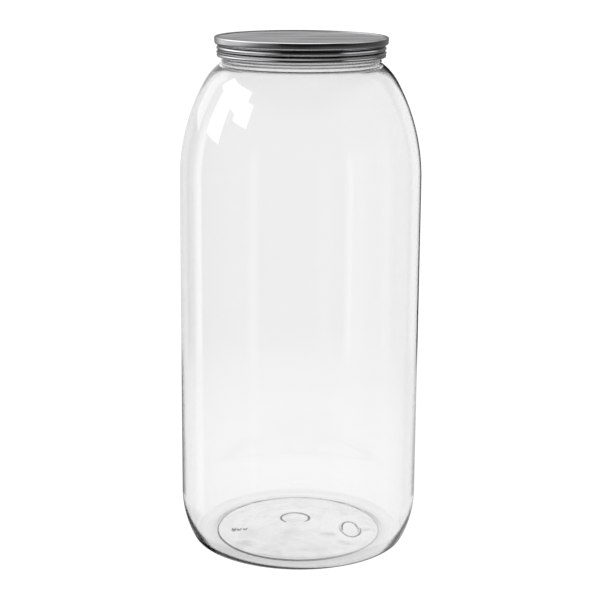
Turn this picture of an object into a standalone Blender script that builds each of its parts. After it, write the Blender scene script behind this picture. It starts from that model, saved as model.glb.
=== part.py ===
"""Wide-mouth clear plastic bottle with a metal screw cap. Metres, +Z up, standing on Z = 0."""

from math import asin, atan2, cos, pi, radians, sin, sqrt

import bmesh
import bpy

MM = 0.001
SEGMENTS = 48  # round the axis, a multiple of four so that the sides reach the true diameter
GAP = 0.3 * MM  # clearance between the cap and the jar

# Whole object
HEIGHT = 267.0 * MM  # foot to the rim of the cap
BODY_RADIUS = 62.5 * MM

# Foot and base, from the axis outwards
STAND_INNER = 46.9 * MM  # the flat ring that the jar stands on
STAND_OUTER = 50.2 * MM
FOOT_CORNER = 2.5 * MM  # radius between the foot and the heel
FOOT_LIFT = 0.5 * MM  # how far the foot's outer edge is off the ground
HEEL_RADIUS = 50.0 * MM  # long curve from the foot to the straight side
HEEL_TOP = 25.5 * MM
CREASE_RADIUS = 43.9 * MM  # where the push-up leaves the foot
CREASE_RISE = 0.8 * MM
PUSH_UP = 6.9 * MM  # height of the push-up at the gate disc
GATE_RADIUS = 7.9 * MM  # disc round the gate where the preform was filled
GATE_RISE = 0.8 * MM

# Shoulder: two arcs in tangent, then a short neck
SHOULDER_Z = 193.8 * MM
SHOULDER_RADIUS = 104.5 * MM
SHOULDER_ANGLE = radians(28.8)
CROWN_RADIUS = 28.5 * MM
CROWN_END = 41.6 * MM  # radius at which the crown meets the neck

# Neck, with depths measured down from the cap's rim
MOUTH_RADIUS = 38.9 * MM
NECK_RADIUS = 40.5 * MM
BEAD_RADIUS = 40.95 * MM  # two plain rings just under the cap
BEAD_DEPTHS = (12.5 * MM, 11.1 * MM)

# Screw thread on the neck, right-handed
THREAD_TOP = 2.1 * MM  # depths between which the neck has rows of points for it
THREAD_BOTTOM = 9.8 * MM
THREAD_PITCH = 3.2 * MM
THREAD_TURNS = 1.5
THREAD_START = 8.4 * MM  # depth of the lower end, at azimuth 0
THREAD_HEIGHT = 1.2 * MM
THREAD_WIDTH = 2.2 * MM

# Wall of the jar
WALL = 0.7 * MM
CROWN_WALL = 1.5 * MM  # under the neck
HEEL_WALL = 0.8 * MM
BASE_WALL = 0.6 * MM  # at the crease
GATE_WALL = 1.5 * MM  # in the middle of the base

# Cap, rolled from sheet, with depths measured down from its rim
SHEET = 0.4 * MM
FLANGE_RADIUS = 44.5 * MM
FLANGE_TAPER = 0.15 * MM  # how much narrower the flange is at its foot
FLANGE_DEPTH = 3.75 * MM
FLANGE_CORNER = 0.8 * MM
PANEL_RADIUS = 42.3 * MM  # recessed top panel
PANEL_DEPTH = 0.55 * MM
SKIRT_RADIUS = 43.0 * MM  # at the bottom of the grooves between the rolled beads
SKIRT_BEADS = (6.9 * MM, 8.7 * MM)  # depth of each bead
SKIRT_BEAD_HEIGHT = 0.35 * MM
HEM_TOP = 9.5 * MM
HEM_OUTER = 43.35 * MM
HEM_INNER = 42.4 * MM
SKIRT_DEPTH = 10.4 * MM


def clear_scene():
    for thing in list(bpy.data.objects):
        bpy.data.objects.remove(thing, do_unlink=True)


def make_material(name, colour, roughness, metallic=0.0, clear=0.0, ior=1.45):
    material = bpy.data.materials.new(name)
    material.use_nodes = True
    shader = material.node_tree.nodes["Principled BSDF"]
    shader.inputs["Base Color"].default_value = (*colour, 1.0)
    shader.inputs["Roughness"].default_value = roughness
    shader.inputs["Metallic"].default_value = metallic
    shader.inputs["Transmission Weight"].default_value = clear
    shader.inputs["IOR"].default_value = ior
    return material


def arc(radius, height, size, start, end, steps):
    """Points of an arc in the (radius, height) plane, with angles in degrees from the outward direction."""
    turn = [radians(start + (end - start) * i / steps) for i in range(steps + 1)]
    return [(radius + size * cos(a), height + size * sin(a)) for a in turn]


def thread(x, y, z):
    """Outward push of the neck's thread at a point, with both its ends faded out."""
    azimuth = atan2(y, x) % (2 * pi)
    push = 0.0
    for turn in range(int(THREAD_TURNS) + 1):
        along = turn + azimuth / (2 * pi)
        away = abs(z - (HEIGHT - THREAD_START + along * THREAD_PITCH)) / (THREAD_WIDTH / 2)
        if along < THREAD_TURNS and away < 1:
            fade = min(1.0, along * 8, (THREAD_TURNS - along) * 8)
            push += THREAD_HEIGHT * fade * (0.5 + 0.5 * cos(pi * away))
    return push


def revolve(profile):
    """A closed body turned about Z from a (radius, height) outline that starts and ends on the axis."""
    mesh = bmesh.new()
    points = [mesh.verts.new((radius, 0.0, height)) for radius, height in profile]
    edges = [mesh.edges.new(pair) for pair in zip(points, points[1:])]
    bmesh.ops.spin(
        mesh, geom=points + edges, cent=(0, 0, 0), axis=(0, 0, 1), dvec=(0, 0, 0),
        angle=2 * pi, steps=SEGMENTS, use_merge=True, use_normal_flip=False, use_duplicate=False,
    )
    bmesh.ops.remove_doubles(mesh, verts=mesh.verts[:], dist=0.01 * MM)
    return mesh


def finish(mesh, name, material):
    bmesh.ops.recalc_face_normals(mesh, faces=mesh.faces[:])
    data = bpy.data.meshes.new(name)
    mesh.to_mesh(data)
    mesh.free()
    data.materials.append(material)
    data.shade_smooth()
    data.set_sharp_from_angle(angle=radians(35))
    thing = bpy.data.objects.new(name, data)
    bpy.context.scene.collection.objects.link(thing)
    return thing


def heel(offset):
    """The heel and the foot's outer edge, offset inwards from the outer surface, from the foot up."""
    size = HEEL_RADIUS - offset
    centre = BODY_RADIUS - HEEL_RADIUS
    corner_z = FOOT_LIFT + FOOT_CORNER
    low = asin((HEEL_TOP - corner_z) / (HEEL_RADIUS - FOOT_CORNER))
    corner_r = centre + (HEEL_RADIUS - FOOT_CORNER) * cos(low)
    points = []
    if offset < FOOT_CORNER:
        points += arc(corner_r, corner_z, FOOT_CORNER - offset, -84, -low * 180 / pi, 3)[:-1]
    return points + arc(centre, HEEL_TOP, size, -low * 180 / pi, 0, 6)


def shoulder(offset, end, extra=0.0):
    """The shoulder and the crown, offset inwards, from the straight side up to the given radius.

    The offset grows by extra along the crown, towards the neck."""
    centre = BODY_RADIUS - SHOULDER_RADIUS
    crown_r = centre + (SHOULDER_RADIUS - CROWN_RADIUS) * cos(SHOULDER_ANGLE)
    crown_z = SHOULDER_Z + (SHOULDER_RADIUS - CROWN_RADIUS) * sin(SHOULDER_ANGLE)
    size = CROWN_RADIUS - offset - extra
    last = atan2(sqrt(size**2 - (end - crown_r) ** 2), end - crown_r)
    side = arc(centre, SHOULDER_Z, SHOULDER_RADIUS - offset, 0, SHOULDER_ANGLE * 180 / pi, 5)
    crown = []
    for i in range(5):
        turn = SHOULDER_ANGLE + (last - SHOULDER_ANGLE) * i / 4
        size = CROWN_RADIUS - offset - extra * (i / 4) ** 2
        crown.append((crown_r + size * cos(turn), crown_z + size * sin(turn)))
    return side[:-1] + crown


def push_up(inside):
    """The raised base from the axis to the crease, outside or inside: gate disc and dome."""
    points = []
    for radius in (GATE_RADIUS, 12.5 * MM, 18.0 * MM, 25.0 * MM, 32.0 * MM, 38.0 * MM, 42.4 * MM):
        part = radius / CREASE_RADIUS
        height = PUSH_UP - GATE_RISE - (PUSH_UP - GATE_RISE - CREASE_RISE) * part**1.25
        points.append((radius, height + (base_wall(part) if inside else 0.0)))
    if inside:
        return [(0.0, points[0][1] + 0.3 * MM)] + points
    return [(0.0, PUSH_UP), (GATE_RADIUS - 0.6 * MM, PUSH_UP)] + points


def base_wall(part):
    return BASE_WALL + (GATE_WALL - BASE_WALL) * (1 - part**2)


def jar_profile():
    outer = push_up(False)
    outer += [(CREASE_RADIUS - 0.7 * MM, CREASE_RISE - 0.2 * MM), (CREASE_RADIUS, 0.15 * MM)]
    outer += [(STAND_INNER, 0.0), (STAND_OUTER, 0.0)] + heel(0.0) + shoulder(0.0, CROWN_END)
    neck_z = outer[-1][1]
    outer += [(NECK_RADIUS, neck_z + 0.4 * MM)]
    for depth in BEAD_DEPTHS:
        outer += arc(BEAD_RADIUS - 0.7 * MM, HEIGHT - depth, 0.7 * MM, -50, 50, 3)
    rise = (THREAD_BOTTOM - THREAD_TOP) / 12
    outer += [(NECK_RADIUS, HEIGHT - THREAD_BOTTOM + rise * i) for i in range(13)]
    lip = HEIGHT - PANEL_DEPTH - SHEET - GAP
    outer += [(NECK_RADIUS, lip - 0.5 * MM), (NECK_RADIUS - 0.5 * MM, lip)]
    outer += [(MOUTH_RADIUS + 0.4 * MM, lip), (MOUTH_RADIUS, lip - 0.4 * MM)]
    inner = [(MOUTH_RADIUS, neck_z - 1.2 * MM)]
    inner += shoulder(WALL, MOUTH_RADIUS + 0.8 * MM, CROWN_WALL - WALL)[::-1]
    inner += heel(HEEL_WALL)[::-1][1:]
    inner += [(STAND_OUTER - 0.6 * MM, BASE_WALL + 0.3 * MM), (CREASE_RADIUS + 0.3 * MM, BASE_WALL + 0.1 * MM)]
    inner += [(CREASE_RADIUS - 0.4 * MM, BASE_WALL + CREASE_RISE - 0.2 * MM)]
    return outer + inner + push_up(True)[::-1]


def make_jar():
    mesh = revolve(jar_profile())
    for point in mesh.verts:
        radius = sqrt(point.co.x**2 + point.co.y**2)
        depth = HEIGHT - point.co.z
        if abs(radius - NECK_RADIUS) < 0.01 * MM and THREAD_TOP <= depth <= THREAD_BOTTOM:
            point.co.xy *= 1 + thread(*point.co) / radius
    plastic = make_material("clear_plastic", (0.93, 0.94, 0.94), 0.04, clear=1.0, ior=1.57)
    return finish(mesh, "bottle", plastic)


def skirt(offset):
    """The cap's beaded skirt from the flange down to the hem, offset inwards."""
    points = [(SKIRT_RADIUS, FLANGE_DEPTH + 0.4 * MM)]
    crest, side = SKIRT_RADIUS + SKIRT_BEAD_HEIGHT, SKIRT_RADIUS + SKIRT_BEAD_HEIGHT * 0.75
    for depth in SKIRT_BEADS:
        points += [(SKIRT_RADIUS, depth - 0.85 * MM), (side, depth - 0.35 * MM)]
        points += [(crest, depth), (side, depth + 0.35 * MM)]
    points.append((SKIRT_RADIUS, HEM_TOP))
    return [(radius - offset, HEIGHT - depth) for radius, depth in points]


def cap_profile():
    rim_r, rim_z = FLANGE_RADIUS - FLANGE_CORNER, HEIGHT - FLANGE_CORNER
    foot_r, foot_z = rim_r - FLANGE_TAPER, HEIGHT - FLANGE_DEPTH + FLANGE_CORNER
    panel_z = HEIGHT - PANEL_DEPTH
    outer = [(0.0, panel_z), (PANEL_RADIUS - 0.3 * MM, panel_z), (PANEL_RADIUS, HEIGHT - 0.15 * MM)]
    outer += [(PANEL_RADIUS + 0.2 * MM, HEIGHT)] + arc(rim_r, rim_z, FLANGE_CORNER, 90, 0, 3)
    outer += arc(foot_r, foot_z, FLANGE_CORNER, 0, -80, 3) + skirt(0.0)
    middle, hem = (HEM_OUTER + HEM_INNER) / 2, (HEM_OUTER - HEM_INNER) / 2
    outer += arc(middle, HEIGHT - SKIRT_DEPTH + hem, hem, 0, -180, 5)
    inner = [(HEM_INNER, HEIGHT - HEM_TOP)] + skirt(SHEET)[::-1][1:]
    inner += arc(foot_r, foot_z, FLANGE_CORNER - SHEET, -80, 0, 2)
    inner += arc(rim_r, rim_z, FLANGE_CORNER - SHEET, 0, 90, 2)
    inner += [(PANEL_RADIUS + 0.4 * MM, HEIGHT - SHEET), (PANEL_RADIUS + 0.2 * MM, panel_z - SHEET)]
    return outer + inner + [(0.0, panel_z - SHEET)]


def make_cap():
    metal = make_material("brushed_aluminium", (0.62, 0.62, 0.63), 0.3, metallic=1.0)
    return finish(revolve(cap_profile()), "cap", metal)


clear_scene()
make_jar()
make_cap()
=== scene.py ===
from math import acos, asin, atan2, ceil, cos, degrees, hypot, pi, radians, sin, tan

import bmesh
import bpy
from mathutils import Matrix, Vector, noise


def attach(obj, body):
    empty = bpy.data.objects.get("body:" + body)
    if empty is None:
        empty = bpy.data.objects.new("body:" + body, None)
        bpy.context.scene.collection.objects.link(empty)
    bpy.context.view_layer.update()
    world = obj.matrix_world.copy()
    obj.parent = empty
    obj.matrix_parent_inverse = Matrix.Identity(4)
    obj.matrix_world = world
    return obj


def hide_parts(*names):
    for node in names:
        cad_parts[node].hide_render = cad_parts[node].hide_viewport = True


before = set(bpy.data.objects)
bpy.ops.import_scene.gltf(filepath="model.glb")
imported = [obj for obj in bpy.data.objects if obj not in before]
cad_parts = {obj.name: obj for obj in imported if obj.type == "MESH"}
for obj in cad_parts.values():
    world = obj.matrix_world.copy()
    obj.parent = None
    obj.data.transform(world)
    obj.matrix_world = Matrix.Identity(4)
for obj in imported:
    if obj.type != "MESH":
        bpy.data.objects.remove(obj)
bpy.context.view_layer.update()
print("frame loaded")

mm = 0.001
turnSteps = 288  # faces round the axis
filletStep = 12  # degrees between the points of a small rounded corner


def linear(hexColour):
    # from sRGB hex, with an alpha of 1
    values = [int(hexColour[i:i + 2], 16) / 255 for i in (1, 3, 5)]
    return [v / 12.92 if v <= 0.04045 else ((v + 0.055) / 1.055) ** 2.4 for v in values] + [1.0]


def grey(level):
    return [level, level, level, 1.0]


def setInputs(tree, node, inputs):
    # an input is a value, a socket to link from, or a node, which stands for its first output in use
    for name, value in inputs.items():
        if isinstance(name, int):
            socket = node.inputs[name]
        else:
            socket = next(one for one in node.inputs if one.enabled and one.name == name)
        if isinstance(value, bpy.types.Node):
            value = next(one for one in value.outputs if one.enabled)
        if isinstance(value, bpy.types.NodeSocket):
            tree.links.new(value, socket)
        else:
            socket.default_value = value


def addNode(tree, kind, settings=None, inputs=None, stops=()):
    # stops are a colour ramp's, each as (place, grey level or colour)
    node = tree.nodes.new("ShaderNode" + kind)
    for name, value in (settings or {}).items():
        setattr(node, name, value)
    for i, (place, colour) in enumerate(stops):
        elements = node.color_ramp.elements
        element = elements[i] if i < 2 else elements.new(place)
        element.position = place
        element.color = colour if isinstance(colour, list) else grey(colour)
    setInputs(tree, node, inputs or {})
    return node


tintMix = {"data_type": "RGBA", "blend_type": "MULTIPLY"}  # settings of a Mix node that tints A with B


def newMaterial(name):
    material = bpy.data.materials.new(name)
    material.use_nodes = True
    return material, material.node_tree, material.node_tree.nodes["Principled BSDF"]


def share(distance, length):
    # from 0 to 1 over a length
    return min(1.0, max(0.0, distance / length))


def swell(away):
    # a rounded ridge: 1 in its middle, 0 at its edge, where away is 1
    return 0.5 + 0.5 * cos(pi * away) if away < 1 else 0.0


def arc(radius, height, size, start, end, step):
    # points of an arc in the (radius, height) plane, in mm and degrees
    count = max(2, ceil(abs(end - start) / step))
    turn = [radians(start + (end - start) * i / count) for i in range(count + 1)]
    return [(radius + size * cos(a), height + size * sin(a), 0.0) for a in turn]


def rounded(corners):
    # each corner is (radius, height, fillet); a fillet of 0 keeps the point as it is
    points = []
    for i, (radius, height, size) in enumerate(corners):
        here = Vector((radius, height))
        if not size or i in (0, len(corners) - 1):
            points.append(here)
            continue
        before = Vector(corners[i - 1][:2]) - here
        after = Vector(corners[i + 1][:2]) - here
        half = before.angle(after) / 2
        # a fillet takes less than half of each side
        reach = min(size / tan(half), 0.49 * before.length, 0.49 * after.length)
        centre = here + (before.normalized() + after.normalized()).normalized() * reach / cos(half)
        first = here + before.normalized() * reach - centre
        turn = first.angle_signed(here + after.normalized() * reach - centre)
        count = max(2, ceil(abs(degrees(turn)) / filletStep))
        points += [centre + Matrix.Rotation(-turn * k / count, 2) @ first for k in range(count + 1)]
    return points


def revolve(points):
    # a sixteenth of the turn is spun, then doubled four times
    mesh = bmesh.new()
    ring = [mesh.verts.new((max(p.x, 0.0) * mm, 0.0, p.y * mm)) for p in points]
    edges = [mesh.edges.new(pair) for pair in zip(ring, ring[1:])]
    bmesh.ops.spin(
        mesh, geom=ring + edges, cent=(0, 0, 0), axis=(0, 0, 1), dvec=(0, 0, 0),
        angle=pi / 8, steps=turnSteps // 16, use_merge=False, use_normal_flip=False, use_duplicate=False,
    )
    for turned in (pi / 8, pi / 4, pi / 2, pi):
        copied = bmesh.ops.duplicate(mesh, geom=mesh.verts[:] + mesh.edges[:] + mesh.faces[:])["geom"]
        verts = [part for part in copied if isinstance(part, bmesh.types.BMVert)]
        bmesh.ops.rotate(mesh, verts=verts, cent=(0, 0, 0), matrix=Matrix.Rotation(turned, 3, "Z"))
    bmesh.ops.remove_doubles(mesh, verts=mesh.verts[:], dist=0.004 * mm)
    bmesh.ops.recalc_face_normals(mesh, faces=mesh.faces[:])
    return mesh


def makePiece(mesh, name, node, material):
    data = bpy.data.meshes.new(name)
    mesh.to_mesh(data)
    mesh.free()
    data.shade_smooth()
    data.materials.append(material)
    piece = bpy.data.objects.new(name, data)
    bpy.context.scene.collection.objects.link(piece)
    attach(piece, "root")
    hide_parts(node)
    return piece


# The jar, in mm and degrees: heights are from the floor, depths from the rim
jar = {
    "side": 62.5, "rim": 267.0,
    # the base: its gate, a little off the middle, its push-up with one soft step, the crease round that
    # and the ring that it stands on
    "gate": 7.9, "gateRise": 0.8, "gateShift": 2.6, "pushUp": 6.9, "step": 18.0, "stepRise": 0.2,
    "crease": 43.9, "creaseRise": 0.8, "standInner": 46.9, "standOuter": 50.2,
    # the heel's long curve and the small corner under it
    "heel": 50.0, "heelTop": 25.5, "footCorner": 2.5, "footLift": 0.5,
    # the shoulder's long curve and the tighter crown above it
    "shoulderZ": 193.8, "shoulder": 104.5, "shoulderAngle": 28.8, "crown": 28.5, "crownEnd": 41.6,
    # the mouth, and the neck with its two rings
    "mouth": 38.9, "neck": 40.5, "neckZ": 253.3, "lipDepth": 1.5,
    "bead": 40.95, "beadSize": 0.7, "beadDepths": (12.2, 10.8),
    # the wall, which gains the collar towards the neck
    "wall": 0.7, "heelWall": 0.8, "baseWall": 0.6, "gateWall": 1.5, "collar": 0.8,
}

# Its thread: half is half its width and fade is in turns. It lifts rows of points from one depth to another
thread = {
    "depth": 8.4, "pitch": 3.2, "turns": 1.5, "height": 1.2, "half": 1.1, "fade": 0.125,
    "lowestRow": 9.8, "highestRow": 2.2, "rows": 33,
}

# Raised on the underside: a plain oval ring and three mould pips, as (x, y, half width, half depth)
marks = {
    "ring": (28.0, -6.0, 5.0, 9.0), "ringHeight": 0.7, "ringHalf": 1.2,
    "pips": ((-34.5, -5.0, 1.3, 3.6), (-31.6, -6.0, 1.3, 2.6), (-28.4, -6.5, 1.2, 2.2)), "pipHeight": 1.12,
}

# The underside and the blown wall are slightly wavy, the wall most of all at the shoulder
waves = {
    "base": 0.22, "baseWidth": 13, "fineWidth": 6, "fineShare": 0.3,
    "wall": 0.05, "wallWidth": 15, "bodyShare": 0.4, "shoulderFrom": 190,
}


def heelCurve(offset):
    # the foot's small corner and the long heel above it
    size = jar["heel"] - offset
    centre = jar["side"] - jar["heel"]
    corner = jar["footCorner"]
    cornerZ = jar["footLift"] + corner
    low = degrees(asin((jar["heelTop"] - cornerZ) / (jar["heel"] - corner)))
    cornerR = centre + (jar["heel"] - corner) * cos(radians(low))
    foot = arc(cornerR, cornerZ, corner - offset, -84, -low, 6)
    return foot[:-1] + arc(centre, jar["heelTop"], size, -low, 0, 1.5)


def shoulderCurve(offset, end, extra=0.0):
    # the long shoulder and the tighter crown that ends at the neck, where the wall has gained extra
    angle = radians(jar["shoulderAngle"])
    centre = jar["side"] - jar["shoulder"]
    crownR = centre + (jar["shoulder"] - jar["crown"]) * cos(angle)
    crownZ = jar["shoulderZ"] + (jar["shoulder"] - jar["crown"]) * sin(angle)
    last = degrees(acos((end - crownR) / (jar["crown"] - offset - extra)))
    lower = arc(centre, jar["shoulderZ"], jar["shoulder"] - offset, 0, jar["shoulderAngle"], 1.2)
    count = 12
    crown = []
    for i in range(count + 1):
        part = i / count
        turned = radians(jar["shoulderAngle"] + (last - jar["shoulderAngle"]) * part)
        size = jar["crown"] - offset - extra * part ** 2
        crown.append((crownR + size * cos(turned), crownZ + size * sin(turned), 0.0))
    return lower[:-1] + crown


def pushUpHeight(radius):
    # a shallow dome with one soft step in it
    dome = jar["pushUp"] - jar["creaseRise"]
    drop = jar["gateRise"] + (dome - jar["gateRise"]) * (radius / jar["crease"]) ** 1.25
    past = (radius - jar["step"]) / (jar["crease"] - jar["step"])
    soft = share(radius - jar["step"] + 2, 4)
    return jar["pushUp"] - drop - jar["stepRise"] * soft * min(1.0, 1 - past)


def baseWall(radius):
    # thickest at the gate, as blown
    return jar["baseWall"] + (jar["gateWall"] - jar["baseWall"]) * (1 - (radius / jar["crease"]) ** 2)


def pushUpCurve(inside, first, last, spacing):
    count = ceil((last - first) / spacing)
    radii = [first + (last - first) * i / count for i in range(count + 1)]
    return [(radius, pushUpHeight(radius) + (baseWall(radius) if inside else 0.0), 0.0) for radius in radii]


def jarProfile():
    rim, neck, mouth, base = jar["rim"], jar["neck"], jar["mouth"], jar["baseWall"]
    gate, crease, creaseRise = jar["gate"], jar["crease"], jar["creaseRise"]
    # outside: the gate's disc, the push-up, the crease and the ring that it stands on
    outer = [(0.0, jar["pushUp"], 0.0), (gate - 0.6, jar["pushUp"], 0.6)]
    outer += [(gate, pushUpHeight(gate), 0.5)] + pushUpCurve(False, gate + 1.0, crease - 1.6, 0.6)
    outer += [(crease - 0.7, creaseRise - 0.2, 0.4), (crease, 0.15, 0.4)]
    outer += [(jar["standInner"], 0.0, 2.0), (jar["standOuter"], 0.0, 0.6)]
    # heel, side and shoulder, then the neck with its two rings, its thread's rows and its lip
    outer += heelCurve(0.0) + shoulderCurve(0.0, jar["crownEnd"])
    outer.append((neck, outer[-1][1] + 0.4, 0.3))
    for depth in jar["beadDepths"]:
        outer += arc(jar["bead"] - jar["beadSize"], rim - depth, jar["beadSize"], -50, 50, 10)
    spacing = (thread["lowestRow"] - thread["highestRow"]) / (thread["rows"] - 1)
    outer += [(neck, rim - thread["lowestRow"] + spacing * i, 0.0) for i in range(thread["rows"])]
    outer += [(neck, rim - jar["lipDepth"], 0.5), (mouth, rim - jar["lipDepth"], 0.5)]
    # inside, back down to the middle of the base
    shoulder = shoulderCurve(jar["wall"], mouth + 1.0, jar["collar"])[::-1]
    inner = [(mouth, shoulder[0][1] + 0.7, 1.0)] + shoulder
    inner += heelCurve(jar["heelWall"])[::-1][1:]
    inner += [(jar["standOuter"] - 0.6, base + 0.3, 1.5), (crease + 0.3, base + 0.1, 0.4)]
    inner += [(crease - 0.4, base + creaseRise - 0.2, 0.4)]
    inner += pushUpCurve(True, gate, crease - 1.3, 1.2)[::-1]
    return rounded(outer + inner + [(0.0, pushUpHeight(0.0) + jar["gateWall"], 0.0)])


def threadHeight(point):
    # rounded and right-handed, faded out at both ends
    azimuth = atan2(point.y, point.x) % (2 * pi) / (2 * pi)
    height = 0.0
    for turn in range(ceil(thread["turns"])):
        along = turn + azimuth
        away = abs(point.z / mm - (jar["rim"] - thread["depth"] + along * thread["pitch"])) / thread["half"]
        fade = min(share(along, thread["fade"]), share(thread["turns"] - along, thread["fade"]))
        height += thread["height"] * fade * swell(away)
    return height


def markHeight(point):
    x, y = point.x / mm, point.y / mm
    middleX, middleY, halfX, halfY = marks["ring"]
    away = abs(hypot((x - middleX) / halfX, (y - middleY) / halfY) - 1) * (halfX + halfY) / 2
    height = marks["ringHeight"] * swell(away / marks["ringHalf"])
    for middleX, middleY, halfX, halfY in marks["pips"]:
        height += marks["pipHeight"] * swell(hypot((x - middleX) / halfX, (y - middleY) / halfY))
    return height


def makeJar(material):
    mesh = revolve(jarProfile())
    domeEdge = jar["crease"] - 1.0
    for vert in mesh.verts:
        radius = hypot(vert.co.x, vert.co.y) / mm
        height = vert.co.z / mm
        if abs(radius - jar["neck"]) < 0.01 and jar["rim"] - height < thread["lowestRow"] + 0.1:
            vert.co.xy *= 1 + threadHeight(vert.co) / radius
        if radius < domeEdge and height < pushUpHeight(radius) + 0.05:
            # the underside, with its waves and marks
            wave = noise.noise(vert.co / (waves["baseWidth"] * mm))
            wave += waves["fineShare"] * noise.noise(vert.co / (waves["fineWidth"] * mm))
            calm = share(domeEdge - radius, 4)
            vert.co.z += (waves["base"] * wave * calm - markHeight(vert.co)) * mm
        if radius < jar["step"] and height < 10:
            # both faces of the base shift with the gate
            vert.co.x -= jar["gateShift"] * (1 - (radius / jar["step"]) ** 2) ** 2 * mm
        if radius > jar["standOuter"] or height > jar["heelTop"]:
            # the wall only sinks in, so the jar keeps its size, and is calm at the foot and the neck
            most = waves["bodyShare"] + (1 - waves["bodyShare"]) * share(height - waves["shoulderFrom"], 20)
            calm = min(share(height - 4, 12), share(jar["neckZ"] - 2 - height, 6))
            wave = noise.noise(vert.co / (waves["wallWidth"] * mm)) * most - 0.5
            vert.co.xy *= 1 + min(0.0, wave) * calm * waves["wall"] / radius
    return makePiece(mesh, "jar", "bottle", material)


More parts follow.
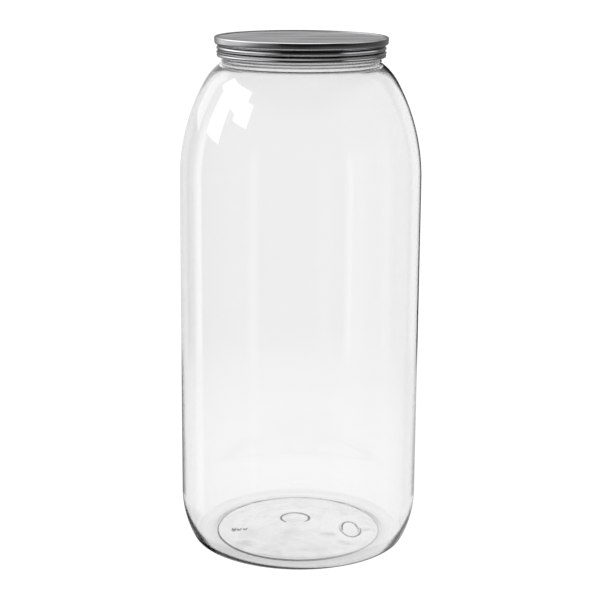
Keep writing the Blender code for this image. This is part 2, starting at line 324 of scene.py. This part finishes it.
# Clear PET, blow-moulded from an injected preform: water-clear and glossy. Its tint holds painted shade:
# greyer where the wall is seen edge on, most of all at the heel, in place of the dark room seen there, and
# painted shade at the foot and neck
def clearPlastic():
    material, tree, shader = newMaterial("clear_pet")
    place = addNode(tree, "TexCoord").outputs["Object"]
    split = addNode(tree, "SeparateXYZ", inputs={"Vector": place})
    height = split.outputs["Z"]
    flat = addNode(tree, "VectorMath", {"operation": "MULTIPLY"}, {0: place, 1: (1, 1, 0)})
    radius = addNode(tree, "VectorMath", {"operation": "LENGTH"}, {0: flat})
    # turned is 0 and 1 at the front, 0.25 at the left, 0.5 behind and 0.75 at the right
    angle = addNode(tree, "Math", {"operation": "ARCTAN2"}, {0: split.outputs["X"], 1: split.outputs["Y"]})
    turned = addNode(tree, "MapRange", inputs={"Value": angle, "From Min": -pi, "From Max": pi})
    # how far a point is from the middle of the heel's curve, which tells the outer face from the inner one
    outwards = addNode(tree, "Math", {"operation": "SUBTRACT"}, {
        0: radius, 1: (jar["side"] - jar["heel"]) * mm,
    })
    upwards = addNode(tree, "Math", {"operation": "SUBTRACT"}, {0: height, 1: jar["heelTop"] * mm})
    away = addNode(tree, "CombineXYZ", inputs={"X": outwards, "Y": upwards})
    heelReach = addNode(tree, "VectorMath", {"operation": "LENGTH"}, {0: away})

    # shares that come or go over a short way: what is measured, from and to in mm, and the share at each
    shares = {}
    for name, value, start, end, first, second in (
        ("outerFace", heelReach, jar["heel"] - 0.7, jar["heel"] - 0.5, 0.0, 1.0),
        ("foot", height, 25, 26, 1.0, 0.0),
        ("base", height, 9, 10, 1.0, 0.0),
        ("pushUp", radius, 42, 44, 1.0, 0.0),
        ("standRing", radius, 44, 46, 0.0, 1.0),
        ("aboveHeel", height, 80, 100, 0.0, 1.0),
        ("body", height, 60, 100, 1.0, 0.97),
        ("neck", height, jar["neckZ"] + 1.2, jar["neckZ"] + 1.6, 1.0, 0.5),
    ):
        shares[name] = addNode(tree, "MapRange", inputs={
            "Value": value, "From Min": start * mm, "From Max": end * mm, "To Min": first, "To Max": second,
        })

    def levels(value, start, end, stops):
        # a ramp over a few mm, because one over a metre is too coarse
        part = addNode(tree, "MapRange", inputs={
            "Value": value, "From Min": start * mm, "From Max": end * mm,
        })
        return addNode(tree, "ValToRGB", inputs={"Fac": part}, stops=[
            ((place - start) / (end - start), level) for place, level in stops
        ])

    # the heel's outer face, as a ray from outside meets it
    geometry = addNode(tree, "NewGeometry")
    fromOutside = addNode(tree, "MapRange", inputs={
        "Value": geometry.outputs["Backfacing"], "To Min": 1.0, "To Max": 0.0,
    })
    heelOnly = shares["outerFace"]
    for other in (fromOutside, shares["foot"]):
        heelOnly = addNode(tree, "Math", {"operation": "MULTIPLY"}, {0: heelOnly, 1: other})
    # painted shade: greyer edge on at the sides of the heel, most of all low down
    sides = addNode(tree, "ValToRGB", inputs={"Fac": turned}, stops=[
        (0.0, 0.2), (0.06, 0.5), (0.12, 0.9), (0.3, 0.9), (0.4, 0.0), (0.6, 0.0), (0.7, 0.85), (0.88, 0.85),
        (0.94, 0.3), (1.0, 0.2),
    ])
    heelEdgeShade = heelOnly
    for other in (sides, levels(height, 0, 26, [(0, 0.25), (9, 0.25), (15, 0.16), (20, 0.06), (26, 0)])):
        heelEdgeShade = addNode(tree, "Math", {"operation": "MULTIPLY"}, {0: heelEdgeShade, 1: other})
    # painted shade: a little more where the shoulder meets the neck, and down the right side
    shoulder = levels(height, 232, 254, [
        (232, 0.0), (240, 0.04), (244, 0.1), (250, 0.1), (252, 0.05), (254, 0.0),
    ])
    right = addNode(tree, "ValToRGB", inputs={"Fac": turned}, stops=[
        (0.6, 0.0), (0.68, 0.03), (0.85, 0.03), (0.92, 0.0),
    ])
    right = addNode(tree, "Math", {"operation": "MULTIPLY"}, {0: right, 1: shares["aboveHeel"]})
    # painted shade: the wall greys where it is seen edge on, standing in for the dark room seen in its
    # edges
    edgeOn = addNode(tree, "LayerWeight", inputs={"Blend": 0.5}).outputs["Facing"]
    for more in (heelEdgeShade, shoulder, right):
        edgeOn = addNode(tree, "Math", {"operation": "ADD"}, {0: edgeOn, 1: more})
    edgeOn = addNode(tree, "MapRange", inputs={"Value": edgeOn, "From Max": 1.25})
    edge = addNode(tree, "ValToRGB", inputs={"Fac": edgeOn}, stops=[
        (0.0, linear("#f8f8f8")), (0.68, linear("#f5f5f5")), (0.72, linear("#808080")),
        (0.744, linear("#303030")), (0.776, linear("#101010")), (0.81, linear("#101010")),
        (0.86, linear("#606060")), (1.0, linear("#888888")),
    ])

    # painted shade: dark bands at the foot's outer corner, a contact shade which reaches higher on one side
    shadeReach = addNode(tree, "ValToRGB", inputs={"Fac": turned}, stops=[
        (0.0, 0.5), (0.06, 0.65), (0.14, 1.0), (0.22, 1.0), (0.32, 0.45), (0.8, 0.6), (0.9, 0.4),
        (0.94, 0.35), (1.0, 0.5),
    ])
    raised = addNode(tree, "Math", {"operation": "DIVIDE"}, {0: height, 1: shadeReach})
    corner = levels(raised, 0, 12, [
        (1.5, 0.008), (1.75, 0.45), (2.1, 0.45), (2.35, 0.006), (4.4, 0.008), (5.6, 0.8), (12, 1.0),
    ])

    # painted shade: the ring that it stands on, dimmer at the front, and a fine dark line of contact shade
    # at the corner inside it
    ringShade = levels(radius, 36, 60, [
        (36, 0.93), (43.8, 0.93), (44, 0.83), (46, 0.86), (50, 0.97), (60, 1.0),
    ])
    front = addNode(tree, "ValToRGB", inputs={"Fac": turned}, stops=[
        (0.0, 0.9), (0.12, 0.9), (0.2, 1.0), (0.8, 1.0), (0.88, 0.9), (1.0, 0.9),
    ])
    front = addNode(tree, "Mix", tintMix, {"Factor": shares["standRing"], "A": grey(1.0), "B": front})
    crease = levels(radius, 40, 48, [
        (40, 1.0), (43.2, 1.0), (43.3, 0.05), (43.75, 0.05), (43.85, 1.0), (48, 1.0),
    ])
    creaseShare = addNode(tree, "ValToRGB", inputs={"Fac": turned}, stops=[
        (0.0, 1.0), (0.28, 1.0), (0.42, 0.6), (0.6, 0.6), (0.7, 0.5), (0.86, 0.5), (0.95, 0.9), (1.0, 1.0),
    ])
    # the push-up is slightly hazy, in clouds 9 mm wide
    clouds = addNode(tree, "TexNoise", inputs={
        "Vector": place, "Scale": 1 / (9 * mm), "Detail": 3.0, "Roughness": 0.55,
    })
    haze = addNode(tree, "ValToRGB", inputs={"Fac": clouds}, stops=[(0.35, 0.9), (0.55, 1.0)])
    hazy = addNode(tree, "Mix", {"data_type": "RGBA"}, {
        "Factor": shares["pushUp"], "A": grey(1.0), "B": haze,
    })

    # the tints lie over one another, each with its share
    hazy = addNode(tree, "Mix", tintMix, {"Factor": 1.0, "A": hazy, "B": front})
    base = ringShade
    for layer, amount in ((hazy, 1.0), (crease, creaseShare)):
        base = addNode(tree, "Mix", tintMix, {"Factor": amount, "A": base, "B": layer})
    # painted shade: the wall above 100 mm a touch darker, and the neck half as bright from its lower ring
    # up under the cap
    upper = addNode(tree, "Mix", tintMix, {"Factor": 1.0, "A": shares["neck"], "B": shares["body"]})
    tint = edge
    for layer, amount in ((corner, heelOnly), (base, shares["base"]), (upper, 1.0)):
        tint = addNode(tree, "Mix", tintMix, {"Factor": amount, "A": tint, "B": layer})
    setInputs(tree, shader, {
        "Base Color": tint, "Roughness": 0.0, "IOR": 1.57, "Transmission Weight": 1.0,
    })
    return material


makeJar(clearPlastic())
print("jar made")

# The cap, in mm; depths are from the rim
cap = {
    "sheet": 0.4, "rim": 267.0, "flange": 44.5, "flangeTaper": 0.15, "flangeDepth": 3.75, "corner": 0.8,
    "panel": 42.3, "panelDepth": 0.55,
    "skirt": 43.0,
    # two rolled beads and a narrow pressed groove above each, as depth and how far out of the skirt
    "skirtPoints": (
        (4.2, 0.1), (4.45, -0.2), (4.95, -0.2), (5.2, 0.12), (5.75, 0.35), (6.1, 0.25), (6.75, -0.2),
        (7.6, -0.2), (7.8, 0.4), (7.95, 0.42), (8.6, 0.05), (8.8, 0.05), (9.2, 0.2),
    ),
    # the two grooves whose shade is painted into the metal's colour, as from and to depth
    "skirtFillet": 0.12, "shadedGrooves": ((4.4, 4.95), (6.85, 7.6)),
    "hemTop": 9.4, "hemOuter": 43.15, "hemInner": 42.4, "depth": 10.1,
}


def skirtCurve(offset):
    skirt, fillet = cap["skirt"] - offset, cap["skirtFillet"]
    return [(skirt + out, cap["rim"] - depth, fillet) for depth, out in cap["skirtPoints"]]


def capProfile():
    rim, sheet, corner, panel = cap["rim"], cap["sheet"], cap["corner"], cap["panel"]
    rimR, rimZ = cap["flange"] - corner, rim - corner
    footR, footZ = rimR - cap["flangeTaper"], rim - cap["flangeDepth"] + corner
    panelZ = rim - cap["panelDepth"]
    # outside: the recessed panel and the wall round it, the upper rim, the skirt and the rolled hem
    outer = [(0.0, panelZ, 0.0), (panel - 0.02, panelZ, 0.1), (panel + 0.02, rim, 0.1)]
    outer += arc(rimR, rimZ, corner, 90, 0, 9) + arc(footR, footZ, corner, 0, -84, 9)
    outer += skirtCurve(0.0)
    middle, hem = (cap["hemOuter"] + cap["hemInner"]) / 2, (cap["hemOuter"] - cap["hemInner"]) / 2
    outer += arc(middle, rim - cap["depth"] + hem, hem, 0, -180, 15)
    # inside, back to the middle
    inner = [(cap["hemInner"], rim - cap["hemTop"], 0.0)] + skirtCurve(sheet)[::-1][1:]
    inner += arc(footR, footZ, corner - sheet, -84, 0, 12) + arc(rimR, rimZ, corner - sheet, 0, 90, 12)
    inner += [(panel + 0.5, rim - sheet, 0.2), (panel + 0.3, panelZ - sheet, 0.3)]
    return rounded(outer + inner + [(0.0, panelZ - sheet, 0.0)])


# Aluminium sheet, rolled and pressed: the rim and skirt are bright from the rollers, with fine lines round
# them, and painted shade in two grooves
def rolledAluminium():
    material, tree, shader = newMaterial("rolled_aluminium")
    place = addNode(tree, "TexCoord").outputs["Object"]
    split = addNode(tree, "SeparateXYZ", inputs={"Vector": place})
    span = 12  # mm of depth that the grooves' ramp covers
    depth = addNode(tree, "MapRange", inputs={
        "Value": split.outputs["Z"], "From Min": cap["rim"] * mm, "From Max": (cap["rim"] - span) * mm,
    })
    # painted shade: the two grooves are dark in the metal's colour, as the shade held in them
    bright, dark = linear("#e4e4e6"), linear("#1c1c1c")
    stops = [(0.0, bright)]
    for start, end in cap["shadedGrooves"]:
        stops += [((start - 0.1) / span, bright), ((start + 0.1) / span, dark)]
        stops += [((end - 0.1) / span, dark), ((end + 0.1) / span, bright)]
    grooveShade = addNode(tree, "ValToRGB", inputs={"Fac": depth}, stops=stops)
    # lines 0.3 mm apart, 15 mm long
    lines = addNode(tree, "Mapping", inputs={
        "Vector": place, "Scale": (1 / (15 * mm), 1 / (15 * mm), 1 / (0.3 * mm)),
    })
    streaks = addNode(tree, "TexNoise", inputs={
        "Vector": lines, "Scale": 1.0, "Detail": 2.0, "Roughness": 0.5,
    })
    sheen = addNode(tree, "ValToRGB", inputs={"Fac": streaks}, stops=[(0.35, 0.82), (0.6, 1.0)])
    setInputs(tree, shader, {
        "Base Color": addNode(tree, "Mix", tintMix, {"Factor": 1.0, "A": grooveShade, "B": sheen}),
        "Roughness": addNode(tree, "MapRange", inputs={
            "Value": streaks, "From Min": 0.3, "From Max": 0.7, "To Min": 0.04, "To Max": 0.1,
        }),
        "Normal": addNode(tree, "Bump", inputs={
            "Height": streaks, "Strength": 0.25, "Distance": 0.02 * mm,
        }),
        "Metallic": 1.0,
    })
    return material


# The same sheet, with a satin brushed finish on the recessed top: long soft streaks over fine brushing
def brushedAluminium():
    material, tree, shader = newMaterial("brushed_aluminium")
    place = addNode(tree, "TexCoord").outputs["Object"]

    def streaked(length, width):
        # noise drawn out along X, in mm
        scaled = addNode(tree, "Mapping", inputs={
            "Vector": place, "Scale": (1 / (length * mm), 1 / (width * mm), 1 / (5 * mm)),
        })
        return addNode(tree, "TexNoise", inputs={
            "Vector": scaled, "Scale": 1.0, "Detail": 2.0, "Roughness": 0.6,
        })

    soft = streaked(40, 9)
    brushing = streaked(12, 0.5)  # real brushing is near 0.1 mm, drawn coarser to show
    tint = addNode(tree, "ValToRGB", inputs={"Fac": soft}, stops=[
        (0.36, linear("#b0b0b2")), (0.5, linear("#d2d2d4")), (0.63, linear("#f2f2f4")),
    ])
    fine = addNode(tree, "ValToRGB", inputs={"Fac": brushing}, stops=[(0.3, 0.86), (0.65, 1.0)])
    setInputs(tree, shader, {
        "Base Color": addNode(tree, "Mix", tintMix, {"Factor": 1.0, "A": tint, "B": fine}),
        "Roughness": addNode(tree, "MapRange", inputs={
            "Value": soft, "From Min": 0.3, "From Max": 0.7, "To Min": 0.36, "To Max": 0.27,
        }),
        "Normal": addNode(tree, "Bump", inputs={
            "Height": brushing, "Strength": 0.3, "Distance": 0.01 * mm,
        }),
        "Metallic": 1.0,
    })
    return material


def makeCap():
    mesh = revolve(capProfile())
    for face in mesh.faces:
        # the panel takes the second material
        middle = face.calc_center_median()
        face.material_index = int(hypot(middle.x, middle.y) < (cap["panel"] - 0.4) * mm)
    piece = makePiece(mesh, "cap", "cap", rolledAluminium())
    piece.data.materials.append(brushedAluminium())


makeCap()
print("cap made")

# The studio: white to look through, darker and uneven to reflect. Each ring of levels goes round the
# jar, as (azimuth, level): 0 is straight behind it, -90 its left, 90 its right and 180 its front
studio = {
    "white": 1.08,  # a little over 1, so that it still shows white through the clear wall
    "floorRadius": 60.0,  # in metres
    "floorDrop": 0.2,  # in mm, to stay clear of the jar
    "rings": {
        # what the cap's blurred metal reflects: nearly black in front, lighter to the left and behind
        "metalFloor": [
            (-180, 0.5), (-140, 0.5), (-110, 0.6), (-70, 0.5), (-40, 0.1), (0, 0.2), (110, 0.25),
            (140, 0.3), (180, 0.5),
        ],
        "metalLow": [
            (-180, 0.05), (-150, 0.08), (-120, 0.1), (-90, 0.15), (-40, 0.1), (0, 0.15), (50, 0.15),
            (100, 0.12), (150, 0.1), (180, 0.05),
        ],
        "metalLevel": [
            (-180, 0.01), (-155, 0.02), (-125, 0.2), (-90, 0.7), (-50, 0.8), (-25, 0.28), (0, 0.22),
            (30, 0.16), (60, 0.08), (95, 0.05), (125, 0.02), (180, 0.01),
        ],
        "metalHigh": [
            (-180, 0.015), (-150, 0.03), (-120, 0.8), (-60, 1.8), (-30, 0.7), (30, 0.5), (46, 0.12),
            (60, 0.7), (108, 0.7), (122, 0.03), (180, 0.015),
        ],
        # what the clear wall reflects
        "ground": [(-180, 0.15), (-150, 0.03), (-10, 0.02), (10, 0.4), (120, 0.6), (150, 0.5), (180, 0.15)],
        "lowWalls": [
            (-180, 0.45), (-140, 0.5), (-136, 0.8), (-131, 0.5), (-76, 0.45), (-72, 1.0), (-66, 1.0),
            (-58, 0.5), (-30, 0.6), (-18, 0.5), (-9, 0.1), (-2, 0.15), (4, 0.9), (30, 0.8), (54, 0.3),
            (60, 0.5), (90, 0.7), (104, 0.5), (124, 0.6), (136, 0.6), (150, 0.45),
        ],
        "walls": [
            (-180, 0.06), (-142, 0.1), (-138, 0.8), (-133, 0.8), (-129, 0.25), (-74, 0.2), (-72, 1.5),
            (-68, 1.5), (-58, 0.2), (-46, 0.02), (-42, 0.4), (-20, 0.9), (-3, 1.0), (3, 0.02), (21.5, 0.02),
            (23.5, 0.9), (45, 0.9), (54, 0.3), (57, 0.6), (72, 0.6), (79, 0.4), (90, 0.9), (101, 0.6),
            (112, 0.6), (120, 0.8), (130, 0.8), (132, 1.6), (136, 0.8), (140, 0.1), (158, 0.35),
            (170, 0.06),
        ],
        "highWalls": [
            (-180, 0.1), (-130, 0.15), (-100, 0.3), (-50, 0.6), (-30, 0.9), (-4, 0.9), (4, 0.05),
            (12, 0.05), (30, 0.9), (44, 0.2), (54, 0.1), (58, 0.6), (100, 0.4), (130, 0.35), (150, 0.12),
        ],
    },
    # window panes, as left, right, lowest and highest in degrees, and level
    "panes": (
        (-112, -62, 26, 41, 4.0), (-92, -70, 10, 26.5, 4.0), (-57, -38, 6, 34, 1.3),
        (-121, -100, 23.5, 36, 4.0),
    ),
}


# A plain white sweep, evenly lit: it shows white, also through the jar, and isn't in its reflections
def whiteSweep():
    material = bpy.data.materials.new("white_sweep")
    material.use_nodes = True
    tree = material.node_tree
    tree.nodes.clear()
    glow = addNode(tree, "Emission", inputs={"Color": grey(1.0), "Strength": studio["white"]})
    addNode(tree, "OutputMaterial", inputs={"Surface": glow})
    return material


def makeFloor():
    mesh = bmesh.new()
    bmesh.ops.create_circle(mesh, cap_ends=True, segments=64, radius=studio["floorRadius"])
    data = bpy.data.meshes.new("floor")
    mesh.to_mesh(data)
    mesh.free()
    data.materials.append(whiteSweep())
    floor = bpy.data.objects.new("floor", data)
    floor.location.z = -studio["floorDrop"] * mm
    bpy.context.scene.collection.objects.link(floor)
    floor.visible_glossy = False
    floor.visible_diffuse = False


def makeStudio():
    world = bpy.data.worlds.new("studio")
    world.use_nodes = True
    bpy.context.scene.world = world
    tree = world.node_tree
    tree.nodes.clear()
    split = addNode(tree, "SeparateXYZ", inputs={"Vector": addNode(tree, "TexCoord").outputs["Generated"]})
    height = split.outputs["Z"]  # the sine of how steeply a ray rises
    angle = addNode(tree, "Math", {"operation": "ARCTAN2"}, {0: split.outputs["X"], 1: split.outputs["Y"]})
    turned = addNode(tree, "MapRange", inputs={"Value": angle, "From Min": -pi, "From Max": pi})
    azimuth = addNode(tree, "Math", {"operation": "MULTIPLY"}, {0: angle, 1: 180 / pi})
    rings = {
        name: addNode(tree, "ValToRGB", inputs={"Fac": turned}, stops=[
            ((place + 180) / 360, level) for place, level in stops
        ])
        for name, stops in studio["rings"].items()
    }

    def fade(value, start, end, first, second):
        # first up to start, second from end
        part = addNode(tree, "MapRange", {"interpolation_type": "SMOOTHSTEP"}, {
            "Value": value, "From Min": start, "From Max": end,
        })
        return addNode(tree, "Mix", {"data_type": "RGBA"}, {"Factor": part, "A": first, "B": second})

    def pane(room, left, right, low, high, level):
        # soft for 1 degree at its sides and 0.7 at its top and foot
        part = 1.0
        for value, start, end in (
            (azimuth, left, left + 1), (azimuth, right, right - 1),
            (height, sin(radians(low)), sin(radians(low + 0.7))),
            (height, sin(radians(high)), sin(radians(high - 0.7))),
        ):
            step = addNode(tree, "MapRange", inputs={"Value": value, "From Min": start, "From Max": end})
            part = addNode(tree, "Math", {"operation": "MULTIPLY"}, {0: part, 1: step})
        return fade(part, 0.0, 1.0, room, grey(level))

    metalRoom = fade(height, -0.75, -0.35, rings["metalFloor"], rings["metalLow"])
    metalRoom = fade(height, -0.2, -0.12, metalRoom, rings["metalLevel"])
    metalRoom = fade(height, 0.12, 0.3, metalRoom, rings["metalHigh"])
    metalRoom = fade(height, 0.8, 0.9, metalRoom, grey(1.5))

    room = fade(height, -0.95, -0.75, grey(0.3), rings["ground"])
    room = fade(height, -0.42, -0.34, room, rings["lowWalls"])
    room = fade(height, -0.285, -0.255, room, rings["walls"])
    room = fade(height, 0.1, 0.35, room, rings["highWalls"])
    room = fade(height, 0.6, 0.9, room, grey(0.3))
    for where in studio["panes"]:
        room = pane(room, *where)

    # refracted upwards, a ray meets the dimmer ceiling
    backdrop = fade(height, 0.5, 0.8, grey(studio["white"]), grey(0.2))
    path = addNode(tree, "LightPath")
    seen = fade(path.outputs["Is Singular Ray"], 0.0, 1.0, metalRoom, room)
    seen = fade(path.outputs["Is Transmission Ray"], 0.0, 1.0, seen, backdrop)
    seen = fade(path.outputs["Is Camera Ray"], 0.0, 1.0, seen, grey(studio["white"]))
    background = addNode(tree, "Background", inputs={"Color": seen})
    addNode(tree, "OutputWorld", inputs={"Surface": background})


makeFloor()
makeStudio()
print("studio made")

# The camera, in mm and degrees: in front of the jar, looking slightly down
view = {"distance": 823.0, "height": 328.8, "down": 12.37, "roll": 0.396, "lens": 96.39, "shift": -0.06}

camera = bpy.data.objects.new("camera", bpy.data.cameras.new("camera"))
camera.data.lens = view["lens"]
camera.data.sensor_width = 36.0
camera.data.shift_y = view["shift"]
camera.data.clip_start, camera.data.clip_end = 0.01, 200.0
camera.matrix_world = (
    Matrix.Translation((0, -view["distance"] * mm, view["height"] * mm))
    @ Matrix.Rotation(radians(90 - view["down"]), 4, "X")
    @ Matrix.Rotation(radians(view["roll"]), 4, "Z")
)
bpy.context.scene.collection.objects.link(camera)
bpy.context.scene.camera = camera
bpy.context.scene.view_settings.view_transform = "Standard"
# enough bounces for the many clear faces that lie behind one another
bpy.context.scene.cycles.max_bounces = 24
bpy.context.scene.cycles.transmission_bounces = 24
bpy.context.scene.cycles.glossy_bounces = 12

bpy.context.view_layer.update()
